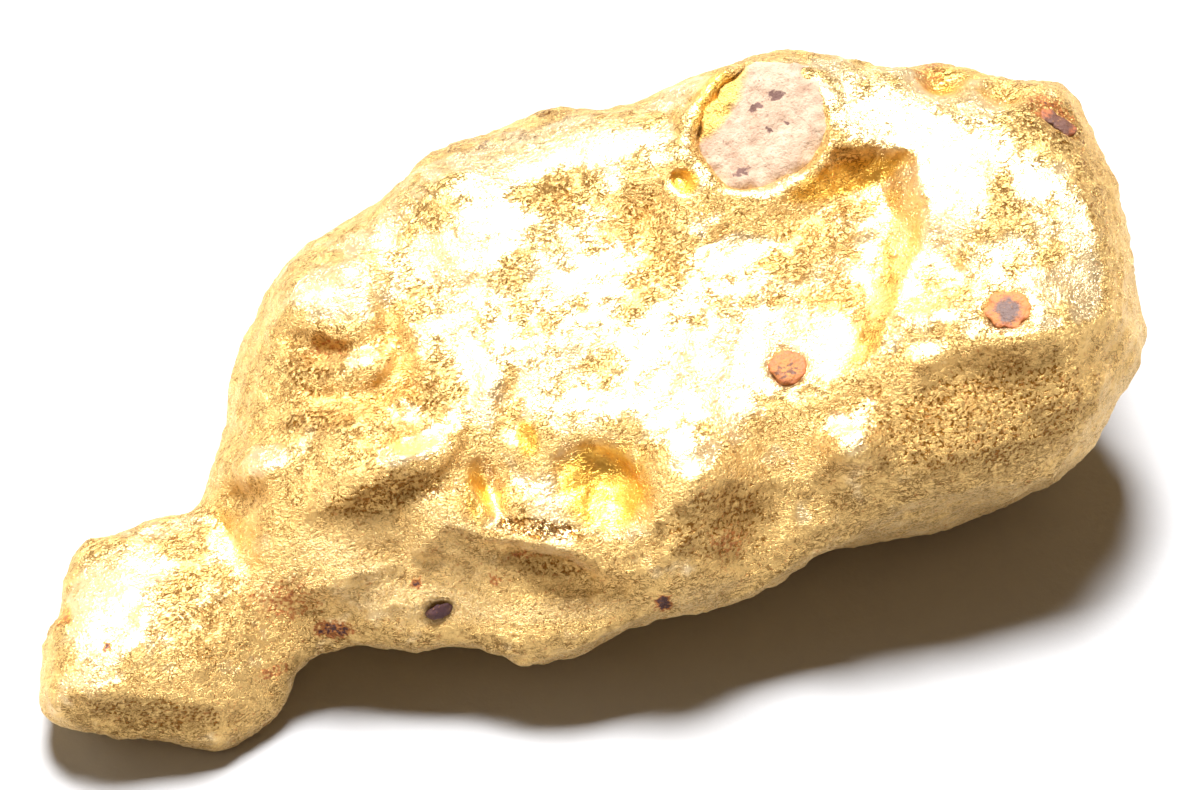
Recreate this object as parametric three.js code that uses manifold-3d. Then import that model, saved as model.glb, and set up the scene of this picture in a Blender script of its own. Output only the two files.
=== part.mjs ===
// A natural gold nugget: one lump of water-worn native gold with grains of its host rock still set in it.
// Millimetres, +Z up. The nugget lies on three worn flats, its length along X, its origin on the ground
// under the middle of its box.
//
// The shape is written in the frame of the nugget's broad face: x along the face, y up the face and z out
// of it. The finished solids are then leaned back and turned to the way the nugget lies on the ground.

import * as THREE from "three";
import { ImprovedNoise } from "three/addons/math/ImprovedNoise.js";
import Module from "manifold-3d";

const wasm = await Module();
wasm.setup();
const noise = new ImprovedNoise();
const { clamp, degToRad, lerp, smoothstep } = THREE.MathUtils;

// Driving dimensions
const LEAN = degToRad(40); // how far the broad face leans up from level
const TURN = degToRad(-20); // brings the long axis onto X
const GROUND = -4.36; // height of the ground, below the face frame's origin
const FACE_RISE = 3.1; // how far the gold swells out of the face, from its widest rim
const BODY_DEPTH = 4.7; // how far it swells behind the rim, in the body
const TAIL_DEPTH = 2.5; // and in the tail
const NECK = { from: -8.4, to: -5.6 }; // x where the tail passes into the body
const RIM_LEAN = [0.05, -0.294]; // how far the rim comes forward for each millimetre along and up the face
const EDGE_ROUND = 3.6; // how far in from the outline the swelling is complete
const RELIEF_START = 1.0; // how far out of the rim the relief of the face reaches its full height
const BLEND = 0.8; // how softly a lump or a facet runs into the rest
const FOOT_BLEND = 1.6; // and a foot into the underside
const LUMPS = { size: 2.4, rise: 0.3 }; // the uneven surface that rolling in a stream bed left
const GRAIN_GAP = 0.08; // crevice round each grain of rock
const GRAIN_EDGE = 0.12; // worn edge of a grain's top
const GOLD_CELL = 0.51; // spacing of the net laid over the gold
const GRAIN_CELL = 0.33; // spacing of the net over a grain, as a share of its least half-length
const REACH = { low: [-14, -9.5, -8], high: [14, 9.5, 6] }; // box that holds the gold, in the face frame
const SEAT_STEP = 0.02; // how closely a grain's seat is found
const SLOPE_STEP = 0.3; // how far from the seat the gold's slope is read
const CUT_TOLERANCE = 0.02; // edges shorter than this are closed up where a socket is cut
const OUTLINE_STEPS = 4; // straight steps between two points of the outline

// Outline of the broad face, from the tip of the tail over the back to the nose and home along the belly.
const OUTLINE = [
  [-12.5, -6.8], [-12.3, -6.0], [-12.0, -4.7], [-11.7, -3.6], [-10.9, -2.95], [-10.0, -2.5], [-9.1, -2.55],
  [-8.6, -1.7], [-8.35, -0.2], [-8.0, 1.1], [-7.2, 2.55], [-5.8, 3.9], [-4.6, 4.65], [-3.8, 5.3],
  [-2.2, 5.9], [-0.4, 6.3], [1.0, 6.4], [1.6, 6.85], [2.2, 7.2], [3.1, 7.5], [4.3, 7.75], [5.5, 7.55],
  [6.7, 7.45], [7.8, 7.4], [8.9, 6.95], [9.8, 7.0], [10.5, 6.75], [10.9, 6.0], [11.6, 4.3], [12.0, 2.8],
  [12.5, 1.7], [12.5, 1.1], [11.9, 0.3], [10.55, -1.0], [9.55, -1.75], [7.8, -2.4], [6.0, -3.0],
  [4.45, -4.0], [3.3, -4.55], [1.8, -5.0], [0.3, -5.25], [-0.3, -5.65], [-1.2, -5.8], [-3.3, -5.7],
  [-5.1, -5.5], [-6.1, -5.65], [-6.6, -6.15], [-7.0, -7.1], [-7.8, -7.6], [-8.7, -7.9], [-9.7, -7.65],
  [-11.1, -7.45], [-12.25, -7.4],
];

// Facets that the blows of its travels left: a point on each, which way it faces, and its reach along x,
// beyond which it runs out.
const FACETS = [
  { at: [2.0, 3.5, 1.2], faces: [-0.04, 0.38, 0.92], from: -5, to: 13 }, // the long top face
  { at: [8.0, 0.8, 2.3], faces: [0.15, -0.3, 0.94], from: 3, to: 13 }, // the flank under it
  { at: [-2.5, -2.6, 2.7], faces: [-0.05, -0.36, 0.93], from: -7, to: 3 }, // the flank's left end
  { at: [-6.2, 1.8, 1.8], faces: [-0.45, 0.3, 0.84], from: -9, to: -4 }, // the left shoulder
  { at: [11.4, 2.6, 0.6], faces: [0.76, 0.1, 0.64], from: 9, to: 13 }, // the blunt right end
  { at: [3.0, 3.0, -4.9], faces: [0.1, 0.25, -0.96], from: -1, to: 13 }, // the worn back
  { at: [-4.0, 0.5, -3.6], faces: [-0.35, -0.1, -0.93], from: -9, to: -1 }, // and its left half
  { at: [-10.4, -5.2, 2.2], faces: [-0.1, 0.48, 0.87], from: -14, to: -8.6 }, // the top of the tail
  { at: [-9.8, -6.6, 2.3], faces: [0.1, -0.34, 0.93], from: -14, to: -8 }, // and its flank
];

// Swellings and hollows of the broad face. Each has its place, its half-lengths along and across, the turn
// of its long axis in degrees, how far it rises, the share of its radius over which it falls away, and for
// some the way along and across in which it grows.
const EVEN = [0, 0];
const RELIEF = [
  { at: [4.35, 2.55], size: [2.9, 2.8], turn: 0, rise: -0.6, fall: 0.45, grows: [0.6, 0.75] }, // hollow
  { at: [3.6, 6.0], size: [2.6, 2.3], turn: 0, rise: 0.55, fall: 0.8 }, // collar round the quartz
  { at: [8.4, 4.4], size: [1.5, 3.2], turn: 25, rise: 0.3, fall: 0.8 }, // band right of the hollow
  { at: [7.9, 6.9], size: [1.5, 0.8], turn: -10, rise: -0.55, fall: 1 }, // trough in the top edge
  { at: [0.3, -2.3], size: [1.25, 1.5], turn: 0, rise: -0.55, fall: 0.5, grows: [0.2, 0.9] }, // wide pit
  { at: [-2.3, -2.1], size: [0.8, 1.2], turn: 20, rise: -0.5, fall: 0.6, grows: [-0.6, 0.4] }, // narrow pit
  { at: [-0.9, -4.2], size: [2.6, 0.9], turn: -8, rise: -0.5, fall: 0.8, grows: [0, 0.5] }, // ledge
  { at: [5.5, -1.2], size: [1.2, 1.0], turn: 30, rise: 0.55, fall: 1 }, // knob on the flank
  { at: [3.4, -2.9], size: [1.6, 1.2], turn: 30, rise: -0.3, fall: 1 }, // dip under the knob
  { at: [-5.8, 2.4], size: [1.4, 1.1], turn: 40, rise: 0.35, fall: 1 }, // lumps of the left end
  { at: [-7.2, -1.5], size: [1.0, 0.9], turn: 0, rise: 0.4, fall: 1 },
  { at: [-4.5, -1.4], size: [1.5, 0.7], turn: 15, rise: 0.4, fall: 1 },
  { at: [-6.0, 0.8], size: [1.5, 0.9], turn: 15, rise: -0.4, fall: 1 }, // dents between them
  { at: [-4.4, -0.2], size: [1.2, 0.8], turn: -30, rise: -0.35, fall: 1 },
  { at: [-3.5, -3.2], size: [0.8, 0.8], turn: 0, rise: 0.35, fall: 1 }, // knob of the left flank
  { at: [-1.5, 3.4], size: [1.4, 2.0], turn: -60, rise: 0.25, fall: 1 }, // swell of the top face
  { at: [1.0, 3.6], size: [1.0, 1.8], turn: -10, rise: -0.35, fall: 1 }, // and the dip beside it
  { at: [-8.1, -3.2], size: [1.0, 2.2], turn: 25, rise: -0.7, fall: 1 }, // saddle of the neck
  { at: [-11.9, -4.8], size: [0.5, 0.6], turn: 0, rise: -0.5, fall: 1 }, // notch in the tail's side
  { at: [-10.9, -5.2], size: [1.2, 1.6], turn: -25, rise: 0.35, fall: 1 }, // tail's top
];

// Lumps on the underside that the nugget stands on: centre and half-lengths, on the ground's own axes.
const FEET = [
  { at: [-9.4, -4.6, 1.1], size: [1.9, 1.7, 1.4] },
  { at: [6.6, 1.3, 2.5], size: [4.2, 2.9, 2.6] },
  { at: [-1.4, 3.0, 2.5], size: [3.6, 3.0, 2.6] },
];

// Grains of host rock, each in a socket of its own form: place on the face, half-lengths along, across and
// into it, turn, and how far its worn top lies below the gold, with the way that top is tipped.
const QUARTZ = new THREE.Color(0.82, 0.66, 0.58);
const IRONSTONE = new THREE.Color(0.45, 0.2, 0.1);
const LEVEL = [0, 0, 1];
const GRAINS = [
  {
    name: "quartz_pebble", colour: QUARTZ,
    at: [3.6, 6.0], size: [1.5, 1.55, 1.1], turn: 0, sunk: 0.12, tip: [-0.22, 0.12, 1],
  },
  {
    name: "ironstone_hollow", colour: IRONSTONE,
    at: [4.15, 0.65], size: [0.42, 0.42, 0.38], turn: 0, sunk: 0.06, tip: LEVEL,
  },
  {
    name: "ironstone_shoulder", colour: IRONSTONE,
    at: [9.0, 1.9], size: [0.54, 0.48, 0.42], turn: 30, sunk: 0.1, tip: LEVEL,
  },
  {
    name: "ironstone_seam", colour: IRONSTONE,
    at: [10.3, 6.2], size: [0.58, 0.28, 0.38], turn: -30, sunk: 0.1, tip: LEVEL,
  },
  {
    name: "ironstone_sliver", colour: IRONSTONE,
    at: [-3.55, -4.8], size: [0.36, 0.2, 0.3], turn: 25, sunk: 0.06, tip: LEVEL,
  },
];

const GOLD = new THREE.Color(0.83, 0.61, 0.2);
const GOLD_FINISH = { color: GOLD, metalness: 1, roughness: 0.35 };
const ROCK_ROUGHNESS = 0.9;

// A closed curve through points, which tells how far inside it a place lies.
class Outline {
  constructor(points) {
    const ring = [...points, points[0]].map(([x, y]) => new THREE.Vector2(x, y));
    this.corners = new THREE.SplineCurve(ring).getPoints(points.length * OUTLINE_STEPS);
  }

  // Distance to the curve: positive inside it and negative outside.
  depth(x, y) {
    let nearest = Infinity;
    let inside = false;
    for (let i = 1; i < this.corners.length; i++) {
      const a = this.corners[i - 1];
      const b = this.corners[i];
      const along = ((x - a.x) * (b.x - a.x) + (y - a.y) * (b.y - a.y)) / a.distanceToSquared(b);
      const t = clamp(along, 0, 1);
      nearest = Math.min(nearest, Math.hypot(x - lerp(a.x, b.x, t), y - lerp(a.y, b.y, t)));
      if (a.y > y !== b.y > y && x < a.x + ((y - a.y) * (b.x - a.x)) / (b.y - a.y)) inside = !inside;
    }
    return inside ? nearest : -nearest;
  }
}

const outline = new Outline(OUTLINE);

// Joins two solids' fields with a soft fillet, and cuts one by the other with a soft edge.
const join = (a, b, soft) => Math.min(a, b) - Math.max(soft - Math.abs(a - b), 0) ** 2 / (4 * soft);
const cut = (a, b, soft) => -join(-a, -b, soft);

// Signed distance, near enough, to an ellipsoid at the origin.
function ellipsoid(x, y, z, [a, b, c]) {
  const near = Math.hypot(x / a, y / b, z / c);
  const slope = Math.hypot(x / (a * a), y / (b * b), z / (c * c));
  return slope > 0 ? (near * (near - 1)) / slope : -Math.min(a, b, c);
}

// How far the face's swellings and hollows lift a place on it.
function reliefAt(x, y) {
  let lift = 0;
  for (const { at, size, turn, rise, fall, grows = EVEN } of RELIEF) {
    const c = Math.cos(degToRad(turn));
    const s = Math.sin(degToRad(turn));
    const along = (c * (x - at[0]) + s * (y - at[1])) / size[0];
    const across = (c * (y - at[1]) - s * (x - at[0])) / size[1];
    const growth = 1 + along * grows[0] + across * grows[1];
    lift += rise * growth * (1 - smoothstep(Math.hypot(along, across), 1 - fall, 1));
  }
  return lift;
}

// The uneven surface, in two sizes of lump.
function lumpsAt(x, y, z) {
  const [u, v, w] = [x / LUMPS.size, y / LUMPS.size, z / LUMPS.size];
  return LUMPS.rise * (noise.noise(u, v, w) + noise.noise(2 * u, 2 * v, 2 * w) / 2);
}

// Turns a place in the face frame onto the ground's axes.
const toGround = new THREE.Matrix4().makeRotationX(LEAN).setPosition(0, 0, -GROUND);

// The gold's field in the face frame: negative inside it, zero on its surface.
const column = { x: NaN, y: NaN, depth: 0, relief: 0 };
const spot = new THREE.Vector3();
function goldField(x, y, z) {
  if (x !== column.x || y !== column.y) {
    Object.assign(column, { x, y, depth: outline.depth(x, y), relief: reliefAt(x, y) });
  }
  const out = z - RIM_LEAN[0] * x - RIM_LEAN[1] * y;
  const behind = lerp(TAIL_DEPTH, BODY_DEPTH, smoothstep(x, NECK.from, NECK.to));
  const relief = column.relief * smoothstep(out, 0, RELIEF_START);
  const swell = out > 0 ? (out - relief) / FACE_RISE : out / behind;
  let field = (Math.hypot(Math.max(0, 1 - column.depth / EDGE_ROUND), swell) - 1) * FACE_RISE;
  for (const { at, faces, from, to } of FACETS) {
    const over = (x - at[0]) * faces[0] + (y - at[1]) * faces[1] + (z - relief - at[2]) * faces[2];
    const beyond = Math.max(0, from - x, x - to);
    field = cut(field, over - beyond, BLEND);
  }
  spot.set(x, y, z).applyMatrix4(toGround);
  for (const { at, size } of FEET) {
    field = join(field, ellipsoid(spot.x - at[0], spot.y - at[1], spot.z - at[2], size), FOOT_BLEND);
  }
  return field + lumpsAt(x, y, z);
}

// The corners and edges of one cell of a grid, as steps from its first corner.
function cellEdges([stepX, stepY, stepZ]) {
  const edges = [];
  for (const y of [0, stepY]) for (const z of [0, stepZ]) edges.push([y + z, y + z + stepX]);
  for (const x of [0, stepX]) for (const z of [0, stepZ]) edges.push([x + z, x + z + stepY]);
  for (const x of [0, stepX]) for (const y of [0, stepY]) edges.push([x + y, x + y + stepZ]);
  return edges;
}

// Keeps two sheets of a surface apart: where the corners of a grid square lie in and out by turns, the
// sheets would meet, so the corner nearest the surface changes sides.
function partSheets(values, steps) {
  const last = values.length - steps[0] - steps[1] - steps[2];
  for (let i = 0; i < last; i++) {
    for (let k = 0; k < 3; k++) {
      const [p, q] = [steps[k], steps[(k + 1) % 3]];
      const square = [i, i + p, i + p + q, i + q];
      const inside = square.map((corner) => values[corner] < 0);
      if (inside[0] !== inside[2] || inside[1] !== inside[3] || inside[0] === inside[1]) continue;
      square.sort((a, b) => Math.abs(values[a]) - Math.abs(values[b]));
      values[square[0]] *= -1;
    }
  }
}

// A net of triangles laid over the zero surface of a field, inside a box of low and high corners.
function surfaceNet(field, low, high, cell) {
  const counts = low.map((start, k) => Math.ceil((high[k] - start) / cell) + 1);
  const steps = [1, counts[0], counts[0] * counts[1]];
  const place = (i) =>
    new THREE.Vector3(i % counts[0], Math.floor(i / steps[1]) % counts[1], Math.floor(i / steps[2]))
      .multiplyScalar(cell)
      .add(new THREE.Vector3(...low));
  const values = new Float32Array(counts[0] * counts[1] * counts[2]);
  for (let y = 0; y < counts[1]; y++) {
    for (let x = 0; x < counts[0]; x++) {
      for (let z = 0; z < counts[2]; z++) {
        const i = x + y * steps[1] + z * steps[2];
        values[i] = field(low[0] + cell * x, low[1] + cell * y, low[2] + cell * z);
      }
    }
  }
  partSheets(values, steps);
  // Each cell that the surface crosses gets one point of the net, at the middle of its crossings.
  const edges = cellEdges(steps);
  const last = values.length - steps[0] - steps[1] - steps[2];
  const points = [];
  const pointOf = new Map();
  for (let i = 0; i < last; i++) {
    const crossings = edges.filter(([a, b]) => values[i + a] < 0 !== values[i + b] < 0);
    if (!crossings.length) continue;
    const middle = new THREE.Vector3();
    for (const [a, b] of crossings) {
      const share = values[i + a] / (values[i + a] - values[i + b]);
      middle.add(place(i + a).lerp(place(i + b), share));
    }
    pointOf.set(i, points.length);
    points.push(middle.divideScalar(crossings.length));
  }
  // Each edge of the grid that the surface crosses gets two triangles, between the four cells round it.
  const faces = [];
  for (let i = 0; i < last; i++) {
    for (let k = 0; k < 3; k++) {
      if (values[i] < 0 === values[i + steps[k]] < 0) continue;
      const [p, q] = [steps[(k + 1) % 3], steps[(k + 2) % 3]];
      const ring = [i - p - q, i - q, i, i - p].map((c) => pointOf.get(c));
      if (values[i] > 0) ring.reverse();
      const [a, b, c, d] = ring;
      const short = points[a].distanceTo(points[c]) < points[b].distanceTo(points[d]);
      faces.push(...(short ? [a, b, c, a, c, d] : [a, b, d, b, c, d]));
    }
  }
  return { points, faces };
}

// The solid of a net, on the ground's axes, worn flat where it would reach below the ground.
function solidOfNet({ points, faces }) {
  const vertProperties = new Float32Array(points.length * 3);
  points.forEach((point, i) => {
    point.applyMatrix4(toGround);
    point.z = Math.max(point.z, 0);
    point.toArray(vertProperties, i * 3);
  });
  const triVerts = new Uint32Array(faces);
  const solid = new wasm.Manifold(new wasm.Mesh({ numProp: 3, vertProperties, triVerts }));
  return solid.setTolerance(CUT_TOLERANCE);
}

// The place and axes of a grain: its centre on the gold's surface, its third axis square to that surface.
function seat({ at: [x, y], turn }) {
  let z = REACH.high[2];
  while (goldField(x, y, z) > 0) z -= SEAT_STEP;
  const slope = (dx, dy, dz) => goldField(x + dx, y + dy, z + dz) - goldField(x - dx, y - dy, z - dz);
  const out = new THREE.Vector3(slope(SLOPE_STEP, 0, 0), slope(0, SLOPE_STEP, 0), slope(0, 0, SLOPE_STEP));
  out.normalize();
  const along = new THREE.Vector3(Math.cos(degToRad(turn)), Math.sin(degToRad(turn)), 0);
  along.projectOnPlane(out).normalize();
  return new THREE.Matrix4().makeBasis(along, out.clone().cross(along), out).setPosition(x, y, z);
}

// A grain and the socket that it sits in.
function makeGrain(grain) {
  const matrix = seat(grain);
  const toSeat = matrix.clone().invert();
  const top = new THREE.Vector3(...grain.tip).normalize();
  const cell = GRAIN_CELL * Math.min(...grain.size);
  const reach = Math.max(...grain.size) + GRAIN_GAP + cell;
  const centre = new THREE.Vector3().setFromMatrixPosition(matrix);
  const low = centre.clone().subScalar(reach).toArray();
  const high = centre.clone().addScalar(reach).toArray();
  const p = new THREE.Vector3();
  const whole = (x, y, z) => {
    p.set(x, y, z).applyMatrix4(toSeat);
    return ellipsoid(p.x, p.y, p.z, grain.size);
  };
  const worn = (x, y, z) => cut(whole(x, y, z), p.dot(top) + grain.sunk, GRAIN_EDGE);
  const grown = (x, y, z) => whole(x, y, z) - GRAIN_GAP;
  return {
    rock: solidOfNet(surfaceNet(worn, low, high, cell)),
    socket: solidOfNet(surfaceNet(grown, low, high, cell)),
  };
}

function addNode(group, name, solid, finish) {
  const { vertProperties, triVerts } = solid.getMesh();
  const geometry = new THREE.BufferGeometry();
  geometry.setAttribute("position", new THREE.BufferAttribute(vertProperties, 3));
  geometry.setIndex(new THREE.BufferAttribute(triVerts, 1));
  const mesh = new THREE.Mesh(geometry, new THREE.MeshStandardMaterial(finish));
  mesh.name = name;
  group.add(mesh);
}

function makeNugget() {
  const turned = new THREE.Group();
  turned.rotation.z = TURN;
  let gold = solidOfNet(surfaceNet(goldField, REACH.low, REACH.high, GOLD_CELL));
  for (const grain of GRAINS) {
    const { rock, socket } = makeGrain(grain);
    gold = gold.subtract(socket);
    addNode(turned, grain.name, rock, { color: grain.colour, roughness: ROCK_ROUGHNESS });
  }
  addNode(turned, "gold", gold, GOLD_FINISH);
  const nugget = new THREE.Group().add(turned);
  const middle = new THREE.Box3().setFromObject(nugget, true).getCenter(new THREE.Vector3());
  nugget.position.set(-middle.x, -middle.y, 0);
  return nugget;
}

export default makeNugget();
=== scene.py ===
import math

import bpy
import numpy as np
from mathutils import Matrix, Vector, noise
from mathutils.bvhtree import BVHTree


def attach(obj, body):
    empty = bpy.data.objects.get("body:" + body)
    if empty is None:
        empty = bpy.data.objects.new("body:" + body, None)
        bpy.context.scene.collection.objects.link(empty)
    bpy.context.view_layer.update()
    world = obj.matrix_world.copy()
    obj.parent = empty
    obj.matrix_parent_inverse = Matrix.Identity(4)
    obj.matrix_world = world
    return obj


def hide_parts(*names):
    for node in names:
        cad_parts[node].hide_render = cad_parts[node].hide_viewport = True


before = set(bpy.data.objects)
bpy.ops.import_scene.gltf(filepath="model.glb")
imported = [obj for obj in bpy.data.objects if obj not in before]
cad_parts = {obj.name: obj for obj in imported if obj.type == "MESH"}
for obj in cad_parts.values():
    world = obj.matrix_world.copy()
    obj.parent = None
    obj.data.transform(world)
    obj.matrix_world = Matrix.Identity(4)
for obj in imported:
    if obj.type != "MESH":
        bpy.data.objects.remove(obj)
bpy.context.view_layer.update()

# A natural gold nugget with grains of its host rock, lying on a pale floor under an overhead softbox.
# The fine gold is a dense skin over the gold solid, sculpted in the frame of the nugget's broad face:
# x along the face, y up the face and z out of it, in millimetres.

MM = 0.001
TINY = 1e-4

# The broad face: how it leans and turns, and where its origin lies in the part's own frame
FACE_LEAN = math.radians(40)
FACE_TURN = math.radians(-20)
FACE_ORIGIN = np.array((0.601, -1.012, 4.36))
FACE_AXES = np.array(Matrix.Rotation(FACE_TURN, 3, "Z") @ Matrix.Rotation(FACE_LEAN, 3, "X"))
FACE_UP = FACE_AXES[:, 1]
FACE_OUT = FACE_AXES[:, 2]

# Meshes: cells of the sculpted form, the finished skin and the rock grains, and how often each is smoothed
FORM_CELL = 0.11
FORM_SMOOTHING = 12
SKIN_CELL = 0.102
SKIN_SMOOTHING = 2
GRAIN_CELL = 0.05
GRAIN_SMOOTHING = 6
CAVITY_SMOOTHING = 14  # of the copy that shows where the skin lies deeper than what is round it

# Noise: how fast its octaves grow weaker, how much finer each is than the last, and how far apart seeds lie
OCTAVE_FALL = 0.9
OCTAVE_STEP = 2.1
SEED_STEPS = (17.3, 5.1, 29.7)

# Strokes drawn on the broad face
SPLINE_STEPS = 6  # from one point of a path to the next
CREST_SHARPNESS = 1.6
PATCH_FALL = 0.6  # share of a patch's radius over which it fades
WANDER = ((0.14, 1.0), (0.05, 0.35))  # how far strokes wander from their drawn lines, over what length

# Sides: the share of a normal along the broad face's own over which something sets in or fades
SCULPTED_FACING = (-0.4, -0.05)  # the sculpted forms set in
FINISHED_FACING = (-0.3, 0.1)  # the face's patches of finish and of painted light and shade set in
AWAY_FACING = (0.1, 0.6)  # the rougher lumps of the other sides fade

# Uneven gold and rock: rise and size of the lumps
LUMPS = (0.045, 1.6)
SIDE_LUMPS = (0.16, 2.4)  # on the sides away from the face
KNOBS = (0.05, 0.03, 0.8)  # with the further rise on those sides in between
HACKLE_GRAIN = (0.05, 0.3)  # where the gold is hackly
ROCK_LUMPS = (0.06, 0.5)
ROCK_GRAIN = (0.03, 0.2)

# How a grain of rock is fitted to the gold round it
TOP_FACING = 0.7  # share of a normal along the face's own from which it belongs to the grain's top
RING_SPREAD = 1.12  # radius, in the grain's own, at which the gold round it is felt
RING_PLACES = 24
RING_DROP = 0.6  # how far below the rest a place on the ring may lie
ABOVE = 20.0  # height over the face from which the gold is felt
RAGGED_SIZE = 0.6  # lumps of the grain's ragged edge, on a circle of radius 1
QUARTZ_FIT = {"spread": 1.28, "ragged": 0.04, "shift": (-0.05, 0.02), "sunk": 0.06, "lean": 0.06}

# The sculpted forms of the broad face. A swelling has its middle, half-lengths along and across, the turn
# of its long axis in degrees, its rise, the share of its radius over which it falls away, and for some the
# share by which its rise grows along and across.
SWELLINGS = [
    # fillings of the solid's own hollow, wide pit and narrow pit, which the ledges cut again more crisply
    ((4.35, 2.55), (2.9, 2.8), 0, 0.5, 0.45, (0.6, 0.75)),
    ((0.3, -2.3), (1.25, 1.5), 0, 0.26, 0.5, (0.2, 0.9)),
    ((-2.3, -2.1), (0.8, 1.2), 20, 0.15, 0.6, (-0.6, 0.4)),
    # two basins and three small mounds on the hollow's floor
    ((4.0, 1.1), (1.9, 0.95), 8, -0.1, 1),
    ((3.2, 3.2), (1.0, 0.6), 10, -0.08, 1),
    ((5.8, 4.45), (0.4, 0.16), 10, 0.07, 1),
    ((5.95, 3.75), (0.45, 0.18), 5, 0.07, 1),
    ((4.5, 4.2), (0.55, 0.14), 22, 0.08, 1),
    # the quartz's socket, and the slope of gold that closes on the stone's upper left
    ((3.45, 5.95), (1.6, 1.45), 0, -0.3, 0.2),
    ((2.5, 6.6), (1.5, 0.62), 59, 0.55, 0.7),
    # two pinholes left of the quartz
    ((1.88, 4.72), (0.38, 0.34), 0, -0.32, 0.8),
    ((2.4, 4.2), (0.15, 0.15), 0, -0.12, 1),
    # the right end: two knolls over the ridge, and the knob on the flank
    ((7.4, 1.7), (1.25, 0.55), 12, 0.22, 1),
    ((7.05, 0.85), (0.36, 0.3), 0, 0.12, 1),
    ((5.6, -1.2), (1.0, 0.8), 12, 0.35, 1),
    # the flank and the belly are fullest at half their height
    ((8.4, -0.9), (3.6, 1.6), 22, 0.4, 1),
    ((-5.5, -3.9), (2.6, 1.3), -8, 0.3, 1),
    # the shoulder leans up the face
    ((9.6, 1.9), (2.2, 1.7), 5, 0.3, 1),
    # rises between the two pits, and the pocket, the dip and the rise under them
    ((-1.95, -2.25), (0.45, 0.65), 10, 0.24, 1),
    ((-1.15, -0.8), (0.3, 0.5), 10, 0.12, 1),
    ((-3.25, -3.15), (0.6, 0.55), -20, -0.16, 1),
    ((-0.2, -4.35), (2.2, 0.6), -6, -0.18, 1),
    ((2.8, -3.1), (0.75, 0.6), 30, 0.18, 1),
    # the lumps and dents of the left end
    ((-6.9, 2.2), (1.2, 1.2), -20, 0.5, 1),
    ((-8.2, -1.6), (1.0, 0.7), 0, 0.4, 1),
    ((-5.65, 2.85), (0.8, 0.35), 20, 0.15, 1),
    ((-5.95, 0.95), (0.7, 0.45), 0, -0.28, 1),
    ((-5.3, 0.75), (0.45, 0.4), 20, 0.25, 1),
    ((-4.35, -0.2), (0.55, 0.4), -30, 0.28, 1),
    ((-4.35, -0.9), (0.6, 0.35), 0, -0.3, 1),
    ((-5.65, -0.75), (0.7, 0.35), 15, 0.2, 1),
    ((-7.45, -1.55), (0.7, 0.5), 10, 0.3, 1),
    ((-2.45, 0.0), (0.5, 1.0), -8, 0.12, 1),
    # the long top face
    ((-2.9, 3.2), (1.5, 0.8), 25, 0.12, 1),
    ((0.9, 4.2), (0.9, 0.6), 20, -0.14, 1),
    ((-0.9, 4.55), (1.0, 0.5), 20, -0.1, 1),
    # the tail
    ((-12.2, -4.9), (1.4, 1.9), 10, 0.45, 1),
    ((-8.8, -6.0), (0.5, 0.2), 22, 0.1, 1),
    ((-11.85, -4.85), (0.32, 0.38), 0, -0.28, 0.9),
    ((-10.7, -5.65), (0.13, 0.16), 0, -0.12, 1),
]

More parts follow.
